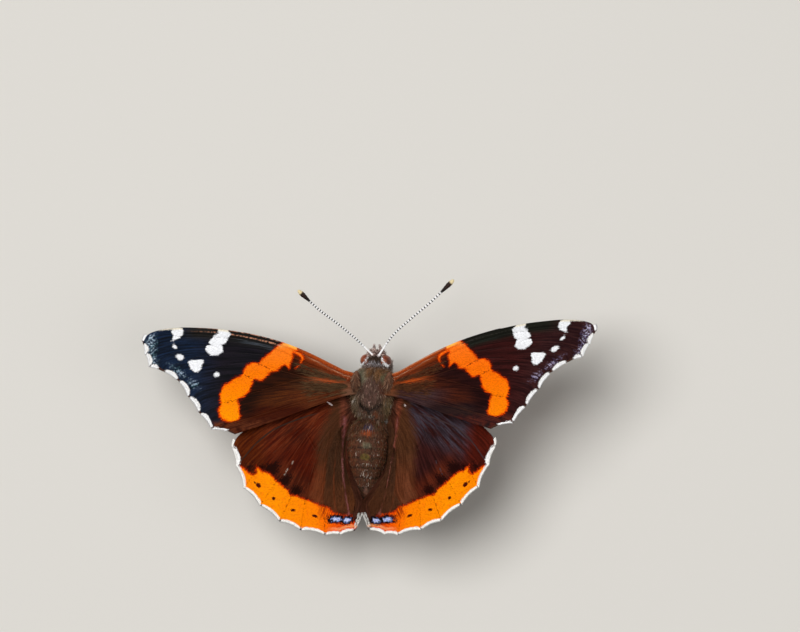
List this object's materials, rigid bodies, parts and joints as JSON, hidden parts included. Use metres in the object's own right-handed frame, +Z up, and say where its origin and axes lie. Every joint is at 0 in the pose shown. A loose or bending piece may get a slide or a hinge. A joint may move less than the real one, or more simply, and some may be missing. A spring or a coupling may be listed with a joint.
{
  "type": "red admiral butterfly",
  "caption": "Life-size red admiral butterfly standing with its wings spread flat, dark with orange bands and white marks.",
  "frame": {"origin": "under the middle of the whole, on the floor that the feet stand on", "axes": "+Y forward, towards the head, +X the animal's right side, +Z up"},
  "size_m": [0.0618, 0.0344, 0.0173],
  "materials": {
    "forewing_scales": "dark scales, matt, with an orange band and white marks",
    "hindwing_scales": "brown scales, matt, with an orange border",
    "coat": "short brown hair with an olive sheen",
    "eye": "smooth brown facets",
    "antenna": "black with pale rings and a cream tip",
    "cuticle": "brown scaled skin"
  },
  "bodies": {
    "root": {"head": "coat", "thorax": "coat", "abdomen": "coat", "proboscis": "cuticle", "forewing_left": "forewing_scales", "hindwing_left": "hindwing_scales", "eye_left": "eye", "palp_left": "coat", "antenna_left": "antenna", "tegula_left": "coat", "foreleg_left": "cuticle", "midleg_left": "cuticle", "hindleg_left": "cuticle", "forewing_right": "forewing_scales", "hindwing_right": "hindwing_scales", "eye_right": "eye", "palp_right": "coat", "antenna_right": "antenna", "tegula_right": "coat", "foreleg_right": "cuticle", "midleg_right": "cuticle", "hindleg_right": "cuticle"}
  },
  "joints": []
}
